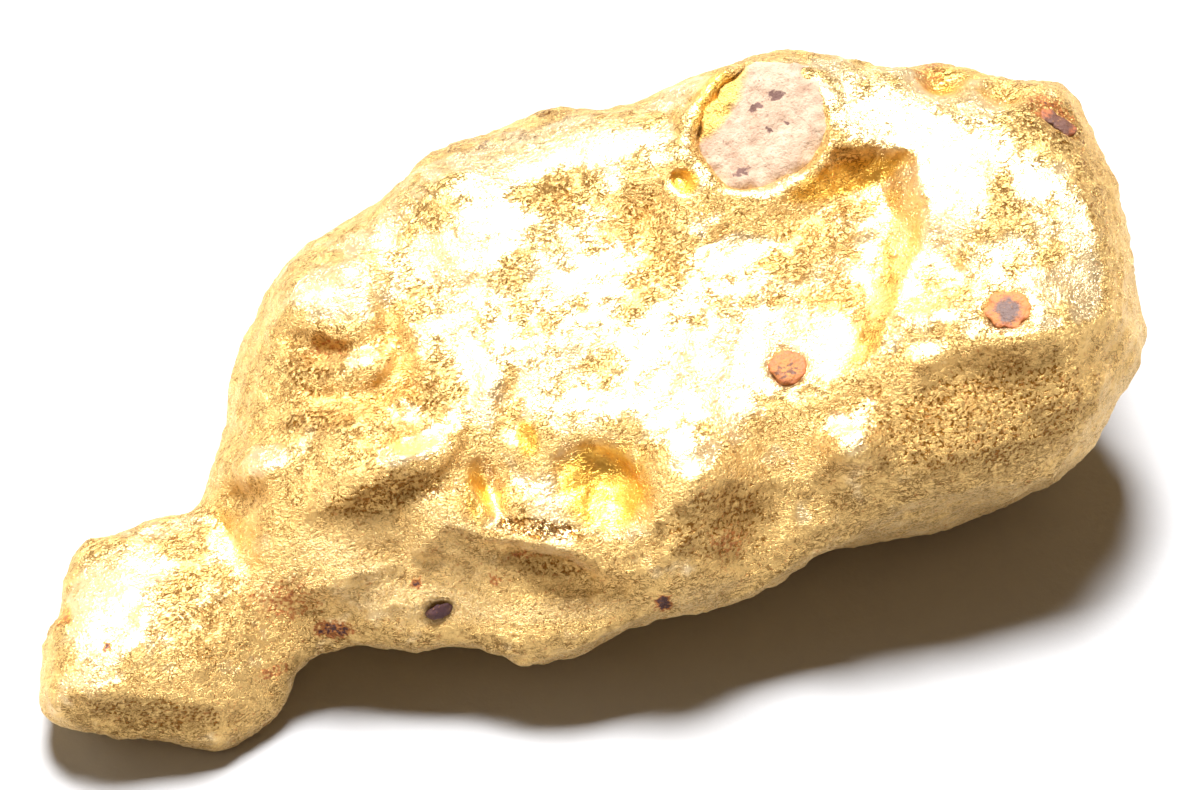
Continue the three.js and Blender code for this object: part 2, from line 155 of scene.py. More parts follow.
# Crests, and with a negative rise creases: half-width, or those to the left and right of their way, then
# points with the rise at each.
CRESTS = [
    # broad swells that carry the top face level to its back and right edges
    (1.2, [(-5.6, 3.4, 0), (-3.6, 4.6, 0.12), (-1.5, 5.4, 0.15), (0.6, 5.7, 0.12), (1.5, 6.2, 0)]),
    (1.6, [(10.2, 5.2, 0.05), (11.0, 3.6, 0.25), (11.3, 2.2, 0.4), (11.3, 1.5, 0.4), (11.2, 0.9, 0.1)]),
    # the ridge along which the top face breaks off to the flank, from the blunt end to the neck
    ((4.5, 1.9), [
        (11.3, 1.5, 0.3), (8.9, 1.2, 0.45), (7.3, 0.8, 0.5), (6.2, 0.0, 0.3), (5.4, -1.0, 0.4),
        (4.2, -1.8, 0.45), (2.3, -1.8, 0.6), (1.5, -2.4, 0.55), (0.3, -3.3, 0.5), (-2.1, -3.0, 0.5),
        (-3.2, -1.9, 0.3), (-4.4, -1.9, 0.3), (-6.6, -2.2, 0.2), (-7.8, -2.0, 0),
    ]),
    # the left end's outer edge, and the tail's lower edge
    (1.5, [
        (-6.4, 3.0, 0.1), (-7.0, 2.1, 0.35), (-7.4, 0.8, 0.35), (-7.7, -0.6, 0.3), (-7.7, -1.7, 0.3),
        (-7.9, -2.3, 0),
    ]),
    (1.8, [
        (-12.5, -6.3, 0.2), (-11.4, -6.5, 0.5), (-10.2, -6.4, 0.4), (-9.0, -6.6, 0.2), (-8.0, -6.9, 0),
    ]),
    # the ridge between the top face and the right flank, and the top face's outer edge
    (1.0, [
        (11.7, 1.9, 0.04), (10.8, 1.55, 0.16), (9.55, 1.4, 0.18), (8.0, 1.1, 0.15), (6.8, 0.7, 0.12),
        (6.3, 0.1, 0),
    ]),
    (0.8, [
        (5.45, 7.05, 0.05), (7.1, 6.45, 0.12), (9.1, 5.8, 0.15), (10.45, 4.55, 0.15), (11.1, 3.0, 0.12),
        (11.4, 2.1, 0.05),
    ]),
    # the quartz's back rim, its lip, and the rise across the hollow's floor
    (0.4, [
        (2.0, 6.5, 0.05), (2.5, 7.1, 0.1), (3.3, 7.5, 0.2), (4.2, 7.45, 0.25), (4.9, 6.95, 0.15),
        (5.2, 6.4, 0),
    ]),
    (0.3, [
        (2.2, 4.65, 0.05), (3.1, 4.45, 0.14), (3.9, 4.65, 0.14), (4.6, 5.05, 0.12), (4.95, 5.45, 0.03),
    ]),
    (0.9, [(3.0, 2.4, 0.02), (4.45, 3.05, 0.08), (5.55, 3.7, 0.08), (6.35, 4.2, 0.04)]),
    # the brow of the left end and the valley under it
    (0.55, [(-5.5, -1.9, 0.05), (-4.65, -1.6, 0.22), (-3.9, -1.25, 0.24), (-3.3, -0.95, 0.08)]),
    (0.6, [(-5.05, -2.45, -0.02), (-3.9, -2.1, -0.08), (-2.95, -1.95, -0.14), (-2.6, -2.8, -0.05)]),
    # the ledge under the pits, with a lip and a crevice
    (0.25, [
        (-2.7, -2.95, 0.05), (-2.2, -3.2, 0.14), (-1.2, -3.35, 0.15), (-0.55, -3.5, 0.15),
        (0.0, -3.85, 0.03),
    ]),
    (0.25, [(-2.45, -3.3, 0), (-1.55, -3.45, -0.14), (-0.65, -3.6, -0.14), (0.0, -4.0, 0)]),
    # the slot in the top face's lower edge
    (0.35, [(-1.85, -0.4, -0.03), (-1.65, -0.9, -0.2), (-1.45, -1.4, -0.03)]),
    # creases by the knob and on the right end, and a low crest behind its top edge
    (0.45, [(6.5, 0.4, 0), (5.55, -0.2, -0.14), (4.45, -0.65, 0)]),
    (0.5, [(7.3, 3.3, -0.05), (8.0, 2.65, -0.14), (9.15, 2.5, -0.05)]),
    (0.5, [(8.9, 5.1, -0.04), (8.95, 3.2, -0.09)]),
    (0.3, [(6.8, 7.1, 0.04), (7.8, 6.6, 0.1), (8.95, 6.75, 0.05)]),
    # furrows of the left end, and the fold at its foot
    (0.6, [(-7.2, 0.05, -0.1), (-5.9, -0.05, -0.32), (-4.85, 0.2, -0.15)]),
    (0.5, [(-4.7, 1.9, -0.1), (-4.5, 1.1, -0.3), (-4.2, 0.3, -0.2)]),
    (0.3, [(-7.65, -2.4, 0.03), (-6.65, -2.45, 0.1), (-5.75, -2.3, 0.05)]),
    # folds and creases of the belly, the first round the pocket left of the ledge
    (0.28, [
        (-4.4, -2.8, 0.04), (-4.1, -2.4, 0.14), (-3.6, -2.3, 0.18), (-3.15, -2.6, 0.18),
        (-2.8, -3.15, 0.15), (-2.3, -3.3, 0.05),
    ]),
    (0.4, [(-6.5, -4.2, 0.03), (-5.4, -3.9, 0.14), (-4.4, -3.6, 0.14), (-3.7, -3.2, 0.05)]),
    (0.3, [(-5.0, -4.75, 0), (-4.2, -4.6, 0.1), (-3.4, -4.55, 0.05), (-2.8, -4.7, 0)]),
    (0.3, [(1.1, -3.7, 0.06), (2.05, -3.0, 0.12)]),
    (0.25, [(2.2, -4.45, -0.05), (3.0, -4.3, -0.14)]),
    (0.35, [(-5.2, -3.35, -0.04), (-3.8, -3.6, -0.12), (-2.65, -3.8, -0.05)]),
    # the tail's top edge, the neck's trough and the tail's edge beside it
    (1.0, [(-11.6, -2.9, 0.1), (-10.6, -2.4, 0.3), (-9.4, -2.2, 0.3), (-8.7, -2.3, 0.1)]),
    (0.65, [(-8.65, -2.4, -0.08), (-8.05, -3.2, -0.18), (-7.45, -4.15, -0.06)]),
    (0.35, [(-9.0, -2.8, 0.06), (-8.45, -3.4, 0.12), (-8.1, -4.05, 0.05)]),
    # the tail's bright facet, its lower ridge and the band under it
    (1.1, [
        (-10.9, -3.35, 0.1), (-10.4, -4.1, 0.25), (-10.0, -4.7, 0.3), (-10.2, -5.5, 0.3),
        (-10.9, -6.2, 0.1),
    ]),
    (0.4, [(-12.45, -6.55, 0.06), (-11.2, -6.55, 0.14), (-10.0, -6.65, 0.1), (-8.8, -6.85, 0.03)]),
    (0.5, [(-11.95, -6.9, -0.04), (-10.45, -7.15, -0.13), (-8.35, -7.25, -0.13), (-7.5, -6.95, -0.05)]),
]

# Ledges, which drop steeply to the right of their way: run of the wall, reach of the floor, then points
# with the drop at each.
LEDGES = [
    # the great hollow's upper and right wall
    (0.95, 4.5, [
        (3.5, 4.2, 0), (4.1, 4.5, 0.3), (4.65, 4.9, 0.5), (5.2, 5.45, 0.65), (6.0, 5.5, 0.8),
        (6.85, 5.4, 0.8), (7.1, 4.7, 0.65), (7.2, 3.9, 0.6), (7.15, 3.35, 0.58), (6.85, 2.75, 0.55),
        (6.65, 2.0, 0.6), (6.3, 1.5, 0.6), (6.2, 0.95, 0.55), (5.75, 0.5, 0.42), (4.8, -0.05, 0.18),
        (4.0, -0.2, 0),
    ]),
    # the wide pit, a notch in the top face's lower edge that is deepest at its top
    (0.4, 2.4, [
        (-0.7, -2.75, 0), (-0.95, -2.2, 0.08), (-1.05, -1.65, 0.12), (-0.85, -1.15, 0.14),
        (-0.3, -0.95, 0.14), (0.35, -1.2, 0.16), (0.95, -1.6, 0.18), (1.3, -2.15, 0.2),
        (1.2, -2.75, 0.12), (0.85, -3.3, 0),
    ]),
    # its narrow neighbour
    (0.4, 1.4, [
        (-2.4, -3.1, 0), (-2.65, -2.5, 0.35), (-2.9, -1.8, 0.45), (-2.75, -1.3, 0.3), (-2.2, -1.2, 0),
    ]),
    # the lower edges of the left end's lumps
    (0.3, 1.0, [
        (-6.7, 1.65, 0), (-6.45, 1.45, 0.2), (-5.9, 1.2, 0.25), (-5.2, 1.45, 0.2), (-4.95, 2.3, 0),
    ]),
    (0.3, 0.9, [
        (-6.2, 0.35, 0), (-5.8, 0.2, 0.2), (-5.3, 0.2, 0.22), (-4.85, 0.55, 0.2), (-4.65, 1.15, 0),
    ]),
    (0.25, 0.8, [
        (-5.1, -0.65, 0), (-4.8, -0.75, 0.18), (-4.3, -0.78, 0.2), (-3.8, -0.55, 0.18), (-3.6, -0.1, 0),
    ]),
    (0.35, 1.3, [
        (-5.6, -2.0, 0), (-5.2, -2.05, 0.1), (-4.55, -1.9, 0.14), (-3.9, -1.7, 0.14), (-3.3, -1.35, 0.12),
        (-3.15, -0.9, 0),
    ]),
    # the ledge under the pits
    (0.15, 0.8, [
        (-2.8, -2.9, 0), (-2.4, -3.15, 0.2), (-1.4, -3.3, 0.28), (-0.5, -3.5, 0.28), (0.2, -3.85, 0),
    ]),
    # the left end's lowest lump, and the edge left of the slot
    (0.3, 0.9, [
        (-8.1, -1.75, 0), (-7.8, -1.9, 0.15), (-7.3, -1.98, 0.2), (-6.8, -1.75, 0.15), (-6.6, -1.4, 0),
    ]),
    (0.25, 0.8, [
        (-2.55, -1.0, 0), (-2.45, -0.6, 0.1), (-2.33, -0.1, 0.12), (-2.2, 0.4, 0.1), (-2.1, 0.8, 0),
    ]),
]
LEDGE_LIP = (0.12, 0.35)  # share of the drop that the edge is raised, and the lip's width

# Dents, and with a negative depth bulges, of the sides away from the broad face: middle in the part's own
# frame, radius and depth.
DENTS = [
    # the two dips in the top right edge
    ((9.7, 2.0, 8.3), 0.9, 0.35),
    ((10.9, 1.1, 8.3), 0.75, 0.3),
    # the back, the blunt end and the tail
    ((2.5, 5.6, 5.2), 1.8, 0.35),
    ((-1.0, 5.9, 4.2), 1.5, 0.3),
    ((6.5, 4.8, 4.6), 1.6, 0.35),
    ((9.8, 3.6, 4.4), 1.4, 0.3),
    ((12.4, -0.5, 3.6), 1.5, 0.3),
    ((-4.0, 4.8, 3.2), 1.5, 0.3),
    ((-7.5, 3.2, 3.0), 1.2, 0.25),
    ((11.5, -2.5, 2.6), 1.3, 0.25),
    ((-10.0, 0.2, 2.4), 1.0, 0.2),
    ((-12.2, -1.0, 2.0), 0.8, 0.15),
    ((4.5, 5.6, 2.4), 1.4, -0.3),
    ((0.5, 5.8, 2.4), 1.2, -0.25),
    ((8.2, 4.2, 5.6), 0.9, -0.2),
    # pinholes
    ((3.6, 5.4, 6.2), 0.45, 0.3),
    ((7.6, 4.3, 5.9), 0.4, 0.28),
    ((-2.6, 5.3, 5.4), 0.5, 0.3),
    ((8.9, 3.6, 3.2), 0.4, 0.25),
    ((-5.3, 4.2, 4.3), 0.4, 0.25),
    ((12.6, -1.6, 5.0), 0.4, 0.25),
    ((1.2, 5.9, 3.7), 0.35, 0.25),
]

# Dark marks on the rock grains: middle, half-lengths, turn and amount.
MARKS = [
    ((3.9, 6.67), (0.28, 0.18), 10, 1.05),
    ((3.48, 6.4), (0.22, 0.15), 20, 1.05),
    ((3.75, 5.9), (0.12, 0.1), 0, 0.7),
    ((3.2, 4.95), (0.4, 0.22), 10, 0.6),
    ((4.12, 0.52), (0.4, 0.26), 15, 0.7),
]

# The film of gold smeared over the quartz's upper left: middle, half-lengths, turn and amount.
FILM = [
    ((2.4, 6.6), (1.8, 0.85), 60, 1.0),
]

# Patches of the face that are more hackly than the rest, or with a minus more worn: middle, half-lengths,
# turn and amount.
# worn gold is also painted paler, as a painted highlight, and hackly gold darker, as painted shade
HACKLE_AND_SHADE = [
    ((-0.9, 4.55), (1.2, 0.7), 20, 0.5),
    ((0.9, 4.3), (0.9, 0.8), 0, 0.5),
    ((1.5, 3.2), (0.8, 1.0), 0, 0.4),
    ((-3.9, 0.0), (1.0, 0.9), 0, 0.4),
    ((-6.0, 0.3), (1.5, 0.8), 0, 0.3),
    ((10.0, 6.0), (1.6, 0.9), -35, 0.5),
    ((8.9, 4.3), (0.5, 1.3), 0, 0.35),
    ((4.6, 3.4), (2.2, 0.7), 32, 0.45),
    ((8.5, -0.6), (3.8, 1.9), 12, 0.6),
    ((-4.8, -3.3), (3.0, 1.1), -5, 0.5),
    ((2.7, -2.6), (1.6, 1.4), 20, 0.5),
    ((-0.5, -4.6), (3.2, 0.7), 0, 0.4),
    ((-8.7, -4.7), (1.5, 1.6), 0, 0.35),
    ((-9.8, -7.0), (2.4, 0.5), -5, 0.4),
    ((-5.85, 2.2), (0.8, 1.1), -20, -0.8),
    ((-5.3, 0.85), (0.5, 0.45), 0, -0.8),
    ((-4.35, -0.3), (0.55, 0.35), -20, -0.8),
    ((-5.6, 0.0), (2.4, 2.6), 0, 0.3),
    ((-7.5, 0.6), (0.7, 2.4), 0, 0.5),
    ((11.2, 4.2), (0.7, 1.8), 10, 0.5),
    ((0.1, -2.1), (1.4, 1.5), 0, -0.9),
    ((-1.6, -0.9), (0.35, 0.6), 15, -0.7),
    ((-2.5, -2.0), (0.5, 0.9), 15, -0.5),
    ((6.9, 3.2), (0.5, 2.4), 0, -0.5),
    ((-2.9, 3.4), (1.6, 0.9), 25, -0.5),
    ((-1.3, 5.1), (2.6, 0.5), 17, -0.5),
    ((2.0, 6.8), (0.8, 0.6), 30, -0.5),
    ((7.2, 4.9), (1.8, 2.0), -30, -0.55),
    ((10.7, 3.1), (0.8, 1.5), 0, -0.45),
    ((1.88, 4.72), (0.5, 0.45), 0, -1.0),
    ((1.9, -0.2), (1.9, 0.5), -5, -0.5),
    ((2.0, -1.5), (0.6, 0.5), 0, -0.4),
    ((5.7, -0.95), (0.8, 0.5), 12, -0.5),
    ((3.7, 0.95), (2.5, 1.3), 8, -0.75),
    ((3.2, 3.2), (1.0, 0.6), 10, -0.5),
    ((-2.5, -0.1), (0.5, 0.9), -8, -0.7),
    ((-4.2, -1.2), (1.1, 0.35), 25, -0.8),
    ((-7.4, -1.45), (0.7, 0.5), 10, -0.8),
    ((-10.9, -4.9), (1.0, 1.5), -15, -0.5),
    ((-8.1, -3.2), (0.6, 1.1), 30, -0.4),
]

# Grime in the gold's hackly hollows: middle, half-lengths, turn and amount.
# also painted shade on the flank, the belly, the valleys and the edges that turn from the light
GRIME_AND_SHADE = [
    ((8.5, -0.5), (3.9, 1.8), 15, 0.9),
    ((2.7, -2.8), (2.0, 1.3), 20, 0.8),
    ((-5.5, -3.2), (2.6, 1.2), -5, 0.3),
    ((-4.6, -2.1), (2.0, 0.6), 14, 1.0),
    ((-3.4, -3.1), (0.9, 0.6), -20, 0.4),
    ((-1.2, -3.7), (1.4, 0.4), -8, 0.9),
    ((-1.3, -2.95), (1.4, 0.3), -8, 1.3),
    ((-5.6, 0.0), (2.2, 2.2), 0, 0.2),
    ((-6.3, -0.6), (1.2, 0.35), 5, 0.6),
    ((-9.8, -7.0), (2.4, 0.6), -5, 0.8),
    ((-8.4, -5.2), (1.3, 1.5), 0, 0.5),
    ((-0.9, 4.55), (1.1, 0.5), 20, 0.5),
    ((0.9, 4.3), (0.8, 0.7), 0, 0.6),
    ((1.5, 3.2), (0.7, 0.9), 0, 0.5),
    ((-3.8, 0.1), (0.8, 0.7), 0, 0.5),
    ((-6.0, 0.35), (1.1, 0.5), 0, 0.35),
    ((10.1, 6.0), (1.5, 0.8), -35, 0.6),
    ((10.9, 4.4), (0.6, 1.4), 10, 0.4),
    ((4.6, 3.6), (2.0, 0.6), 32, 0.35),
    ((5.9, 0.1), (0.9, 0.35), 40, 0.5),
    ((-6.9, 0.6), (0.9, 1.4), 0, 0.3),
    # along the upper and right edges
    ((-1.8, 5.9), (3.0, 0.5), 18, 0.55),
    ((-5.7, 4.2), (1.7, 0.45), 37, 0.5),
    ((11.3, 3.4), (0.5, 1.9), 8, 0.4),
]

# Painted highlights and floor reflections on folds, the lip and the belly: middle, half-lengths, turn and
# amount.
PALE_REFLECTIONS = [
    ((-3.4, -2.7), (1.0, 0.3), -25, 0.7),
    ((-1.4, -3.3), (1.3, 0.13), -7, 1.0),
    ((-3.9, -4.6), (2.3, 0.55), -3, 0.7),
    ((-4.5, -3.8), (3.4, 1.4), -5, 0.45),
    ((-5.6, -3.6), (1.4, 0.4), -25, 0.6),
    ((-1.0, -4.75), (2.4, 0.35), 5, 0.7),
    ((2.2, -4.4), (1.4, 0.3), 15, 0.6),
    ((-7.6, -4.0), (0.5, 1.0), 30, 0.4),
]

# Stains of iron oxide on the gold: middle, half-lengths, turn and amount.
STAINS = [
    ((-6.0, 1.0), (0.55, 0.35), 0, 0.3),
    ((-7.0, -4.55), (1.0, 0.7), 0, 0.35),
    ((-5.9, -5.15), (0.65, 0.3), 0, 0.75),
    ((10.0, 6.3), (0.9, 0.4), -30, 0.5),
    ((-10.8, -5.55), (0.16, 0.16), 0, 0.8),
    ((-11.85, -4.9), (0.3, 0.35), 0, 0.45),
    ((-7.2, -6.1), (0.5, 0.2), 20, 0.5),
    ((-2.3, -4.05), (0.2, 0.16), 0, 0.6),
    ((-1.7, -3.5), (0.5, 0.13), -5, 0.4),
    ((2.8, -3.2), (0.6, 0.5), 0, 0.3),
    ((7.4, 7.3), (0.5, 0.4), 0, 0.35),
    ((1.4, -4.55), (0.24, 0.22), 0, 1.4),
    ((-4.05, -4.15), (0.14, 0.16), 0, 1.0),
]

# Painted reflection of the gold in its hollows, a deeper yellow: middle, half-lengths, turn and amount.
HOLLOW_REFLECTIONS = [
    ((5.4, 4.8), (1.9, 0.5), 18, 1.0),
    ((6.7, 3.1), (0.75, 2.6), 4, 0.45),
    ((5.95, 1.1), (1.0, 0.5), 50, 0.45),
    ((0.1, -2.0), (1.4, 1.4), 0, 1.2),
    ((-2.7, -2.2), (0.4, 0.9), 15, 0.8),
    ((-1.6, -0.95), (0.35, 0.6), 15, 1.0),
    ((2.5, 6.6), (0.55, 1.3), -30, 1.0),
    ((1.88, 4.72), (0.45, 0.42), 0, 1.3),
    ((-8.0, -3.2), (0.6, 1.2), 30, 0.4),
    ((7.9, 7.1), (1.2, 0.4), -12, 0.5),
    ((-11.85, -4.85), (0.35, 0.4), 0, 0.7),
]

# Finish, with painted light and shade, that isn't drawn by hand
HACKLE_CHANCE = (0.45, 0.45, 1.2)  # amount of hackle, how far it varies, and over what length
DOWNWARD_HACKLE_AND_SHADE = 0.5  # how much more hackly the gold is where it doesn't face up, painted darker there as shade
DOWNWARD_SHADE_UP = (0.72, 0.93)  # share of a normal straight up over which that fades
HIDDEN_RUST = (0.5, 1.5, (0.5, 0.8))  # amount away from the face, size of blotches, noise where they set in
CAVITY_DEPTH = 0.12  # depth at which a cavity counts as full for its painted reflection
RIM_FACING = 0.15  # share, along the face's own, of the normal of the rim that carries the painted floor reflection
RIM_FADE = (0.2, 0.45)  # difference from that over which the rim fades
RIM_UP = (0.1, 0.5)  # share of a normal up the face over which the rim fades too

# Detail of the materials: sizes of the noise, and depths of the bump
HACKLE_SIZE = 0.5
GRIME_AND_SHADE_SIZE = 0.3
RUST_SIZE = 0.09
RIM_SPECKLE_SIZE = 0.06
PIT_SIZE = 0.085
WRINKLES = ((0.17, 0.03), (0.085, 0.045))  # size, and half-width as a share of the noise
WRINKLE_STRETCH = 1.8  # how much longer the wrinkles are along the nugget than across it
GAP_SIZE = 0.45  # stretches without wrinkles
GOLD_GRAIN_SIZE = 0.08
MARK_SIZE = 0.12
QUARTZ_MOTTLE_SIZE = 0.35
QUARTZ_GRAIN_SIZE = 0.06
QUARTZ_SPECK_SIZE = 0.22
IRONSTONE_MOTTLE_SIZE = 0.3
IRONSTONE_GRAIN_SIZE = 0.07
FLOOR_FIBRE_SIZE = 0.4
GOLD_BUMP = 0.06
QUARTZ_BUMP = 0.03
IRONSTONE_BUMP = 0.04
FLOOR_BUMP = 0.01

# Roughness of the shaders
GOLD_ROUGHNESS = (0.38, 0.5)  # worn and hackly
GRIME_AND_SHADE_GLOSS = 0.15  # how much glossier gold under grime and painted shade is
QUARTZ_ROUGHNESS = (0.75, 0.5)  # bare and under the film of gold
IRONSTONE_ROUGHNESS = (0.45, 0.8)  # dark and ochre grains
FLOOR_ROUGHNESS = 0.7

# Colours
# worn gold, painted paler as a highlight
GOLD_WORN_AND_HIGHLIGHT = (0.93, 0.72, 0.41, 1)
GOLD_RAW = (0.88, 0.61, 0.24, 1)
# grime, and painted shade
GOLD_GRIME_AND_SHADE = (0.52, 0.31, 0.09, 1)
# painted shade in the creases and pits
GOLD_CREASE_SHADE = (0.27, 0.11, 0.015, 1)
# painted reflection of the floor
GOLD_RIM_REFLECTION = (0.95, 0.73, 0.39, 1)
# painted reflection of the gold in its own hollows
GOLD_CAVITY_REFLECTION = (0.95, 0.57, 0.11, 1)
GOLD_FILM = (0.52, 0.32, 0.09, 1)
RUST_PALE = (0.6, 0.22, 0.06, 1)
RUST_DARK = (0.12, 0.045, 0.035, 1)
QUARTZ_PALE = (0.54, 0.42, 0.31, 1)
QUARTZ_PINK = (0.44, 0.28, 0.19, 1)
QUARTZ_BROWN = (0.25, 0.13, 0.09, 1)
QUARTZ_SPECK = (0.11, 0.045, 0.04, 1)
IRONSTONE_RED = (0.42, 0.13, 0.05, 1)
IRONSTONE_ORANGE = (0.5, 0.19, 0.05, 1)
IRONSTONE_DARK = (0.12, 0.05, 0.035, 1)
IRONSTONE_GREY = (0.15, 0.095, 0.085, 1)
IRONSTONE_OCHRE = (0.5, 0.25, 0.08, 1)
IRONSTONE_VIOLET = (0.1, 0.04, 0.05, 1)
FLOOR_PALE = (0.47, 0.475, 0.49, 1)
FLOOR_SHADE = (0.45, 0.455, 0.47, 1)

# The grains of ironstone: light, dark and heart colour, and how each is fitted
IRONSTONES = {
    "ironstone_hollow": (
        (IRONSTONE_ORANGE, IRONSTONE_RED, IRONSTONE_ORANGE), {"spread": 1.25, "ragged": 0.2},
    ),
    "ironstone_shoulder": (
        (IRONSTONE_ORANGE, IRONSTONE_RED, IRONSTONE_GREY), {"spread": 1.25, "ragged": 0.25},
    ),
    "ironstone_seam": (
        (IRONSTONE_RED, IRONSTONE_DARK, IRONSTONE_DARK), {"spread": 1.3, "ragged": 0.4},
    ),
    "ironstone_sliver": (
        (IRONSTONE_VIOLET, IRONSTONE_DARK, IRONSTONE_VIOLET), {"spread": 1.2, "ragged": 0.15},
    ),
}

# Studio, in metres: the camera, the floor, the room, and lights placed as the camera sees them, each with
# its place to the right, away and up, its width and height, its power and its colour
CAMERA_AZIMUTH = math.radians(-20)
CAMERA_ELEVATION = math.radians(50)
CAMERA_DISTANCE = 0.25
CAMERA_NEAR = 0.001
VIEW_WIDTH = 26.67 * MM
SENSOR = 36.0  # in millimetres
FLOOR_HALF = 1.5
ROOM_COLOUR = (0.2, 0.135, 0.075, 1)
LIGHTS = {
    "softbox": ((-0.04, 0.19, 0.58), (0.22, 0.18), 11.0, (1, 1, 1)),
    "reflector": ((-0.42, 0.08, 0.15), (0.55, 0.25), 0.85, (1.0, 0.9, 0.72)),
}


def smoothstep(value, low, high):
    t = np.clip((value - low) / (high - low), 0, 1)
    return t * t * (3 - 2 * t)


def to_face(points):
    return (points - FACE_ORIGIN) @ FACE_AXES


def turbulence(points, size, octaves, seed):
    """Smooth noise, about -1 to 1, with lumps of that size."""
    offset = Vector([seed * step for step in SEED_STEPS])
    places = (Vector(point) / size + offset for point in points)
    return np.array([noise.fractal(place, OCTAVE_FALL, OCTAVE_STEP, octaves) for place in places])


# Sculpting tools: swelling, crest and ledge give a height over the face at the places x, y

def swelling(x, y, at, size, turn, rise, fall, grows=(0, 0)):
    c, s = math.cos(math.radians(turn)), math.sin(math.radians(turn))
    along = (c * (x - at[0]) + s * (y - at[1])) / size[0]
    across = (c * (y - at[1]) - s * (x - at[0])) / size[1]
    slant = 1 + grows[0] * along + grows[1] * across
    return rise * slant * (1 - smoothstep(np.hypot(along, across), 1 - fall, 1))


def spline(points):
    """A smooth path through rows of numbers."""
    rows = np.array(points, float)
    ends = [rows[0], *rows, rows[-1]]
    path = []
    for a, b, c, d in zip(ends, ends[1:], ends[2:], ends[3:]):
        for t in np.arange(SPLINE_STEPS) / SPLINE_STEPS:
            path.append(0.5 * (2 * b + (c - a) * t + (2 * a - 5 * b + 4 * c - d) * t ** 2
                               + (3 * b - a - 3 * c + d) * t ** 3))
    return np.array([*path, rows[-1]])


def trace(x, y, points, reach):
    """Follows a path of x, y, rise. Gives the places within reach of it, how far off each is, a softened
    distance that has no creases, the side (positive to the left of its way) and the rise there."""
    path = spline(points)
    low, high = path[:, :2].min(0) - reach, path[:, :2].max(0) + reach
    near = np.flatnonzero((x > low[0]) & (x < high[0]) & (y > low[1]) & (y < high[1]))
    off = np.full(near.size, np.inf)
    side = np.zeros(near.size)
    pull, rise = np.zeros(near.size), np.zeros(near.size)
    for a, b in zip(path, path[1:]):
        way = b[:2] - a[:2]
        dx, dy = x[near] - a[0], y[near] - a[1]
        t = np.clip((dx * way[0] + dy * way[1]) / (way @ way), 0, 1)
        gap = np.hypot(dx - t * way[0], dy - t * way[1]) + TINY
        closer = gap < off
        off[closer] = gap[closer]
        side[closer] = (way[0] * dy - way[1] * dx)[closer]
        weight = np.hypot(*way) / gap ** 4
        pull += weight
        rise += weight * (a[2] + t * (b[2] - a[2]))
    return near, off, (pull * 2 / math.pi) ** (-1 / 3), side, rise / pull


def crest(x, y, width, points):
    left, right = width if isinstance(width, tuple) else (width, width)
    near, off, _, side, rise = trace(x, y, points, max(left, right))
    share = off / np.where(side > 0, left, right)
    height = np.zeros(x.shape)
    height[near] = rise * (1 - np.minimum(share, 1)) ** CREST_SHARPNESS
    return height


def ledge(x, y, run, reach, points):
    near, off, soft, side, drop = trace(x, y, points, reach)
    wall = np.sin(np.clip(off / run, 0, 1) * math.pi / 2)
    floor = 1 - smoothstep(soft, run, reach)
    share, width = LEDGE_LIP
    lip = share * (1 - np.clip(off / width, 0, 1)) ** 2
    height = np.zeros(x.shape)
    height[near] = drop * np.where(side < 0, lip - wall * floor, lip)
    return height


def relief(face):
    """The sculpted height at places on the face, whose lines wander like worn metal."""
    x, y = face[:, 0].copy(), face[:, 1].copy()
    for turn, (reach, size) in enumerate(WANDER):
        x += reach * turbulence(face, size, octaves=2, seed=11 + turn)
        y += reach * turbulence(face, size, octaves=2, seed=21 + turn)
    height = np.zeros(x.shape)
    for stroke in SWELLINGS:
        height += swelling(x, y, *stroke)
    for stroke in CRESTS:
        height += crest(x, y, *stroke)
    for stroke in LEDGES:
        height += ledge(x, y, *stroke)
    return height


def patches(face, table):
    """The sum of a table's patches at places on the face."""
    total = np.zeros(len(face))
    for at, size, turn, amount in table:
        total += swelling(face[:, 0], face[:, 1], at, size, turn, amount, PATCH_FALL)
    return total


# Meshes

def new_piece(name, data):
    piece = bpy.data.objects.new(name, data)
    bpy.context.scene.collection.objects.link(piece)
    return piece


def shaped(mesh, cell, smoothing):
    """A copy of a mesh, remade with even cells where a cell is given, and smoothed."""
    rough = new_piece("rough", mesh)
    if cell:
        remesh = rough.modifiers.new("remesh", "REMESH")
        remesh.mode = "VOXEL"
        remesh.voxel_size = cell
    smooth = rough.modifiers.new("smooth", "SMOOTH")
    smooth.iterations = smoothing
    graph = bpy.context.evaluated_depsgraph_get()
    made = bpy.data.meshes.new_from_object(rough.evaluated_get(graph))
    bpy.data.objects.remove(rough)
    return made


def node_skin(node, cell, smoothing):
    """A dense, even skin over a node's solid, in millimetres."""
    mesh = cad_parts[node].data.copy()
    mesh.materials.clear()
    mesh.transform(Matrix.Scale(1 / MM, 4))
    return shaped(mesh, cell, smoothing)


def read_points(mesh, what="co"):
    values = np.empty(len(mesh.vertices) * 3)
    mesh.vertices.foreach_get(what, values)
    return values.reshape(-1, 3)


def write_points(mesh, points):
    mesh.vertices.foreach_set("co", points.ravel())
    mesh.update()


def write_attributes(mesh, finish):
    for name, values in finish.items():
        attribute = mesh.attributes.new(name, "FLOAT", "POINT")
        attribute.data.foreach_set("value", values.astype(np.float32))


def make_piece(name, node, mesh, material):
    """Turns a finished mesh in millimetres into the piece that stands for a node."""
    mesh.transform(Matrix.Scale(MM, 4))
    mesh.shade_smooth()
    mesh.materials.clear()
    mesh.materials.append(material)
    piece = new_piece(name, mesh)
    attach(piece, "root")
    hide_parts(node)


# The gold

